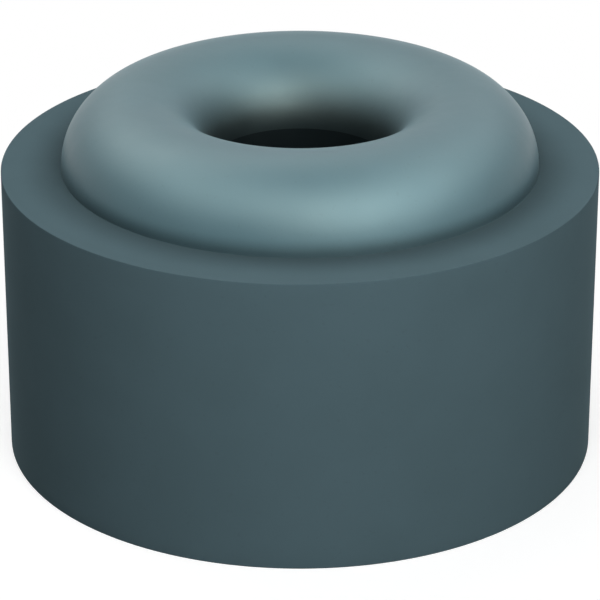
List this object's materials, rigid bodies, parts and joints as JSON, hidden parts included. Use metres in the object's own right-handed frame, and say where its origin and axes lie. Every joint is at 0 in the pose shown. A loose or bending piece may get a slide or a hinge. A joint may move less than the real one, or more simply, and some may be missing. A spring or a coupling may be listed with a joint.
{
  "type": "rubber door stop",
  "caption": "Round moulded rubber door stop with a half-round buffer ring on its top face and a stepped centre bore for a fixing screw.",
  "frame": {"origin": "centre of the flat base, on the floor or wall that the stop is screwed to", "axes": "+Z along the screw axis, from the base towards the crown of the buffer ring; the piece is round about Z"},
  "size_m": [0.04, 0.04, 0.025],
  "materials": {
    "grey_rubber": "smooth moulded grey-green rubber with a soft sheen"
  },
  "bodies": {
    "root": {"rubber_body": "grey_rubber"}
  },
  "joints": []
}
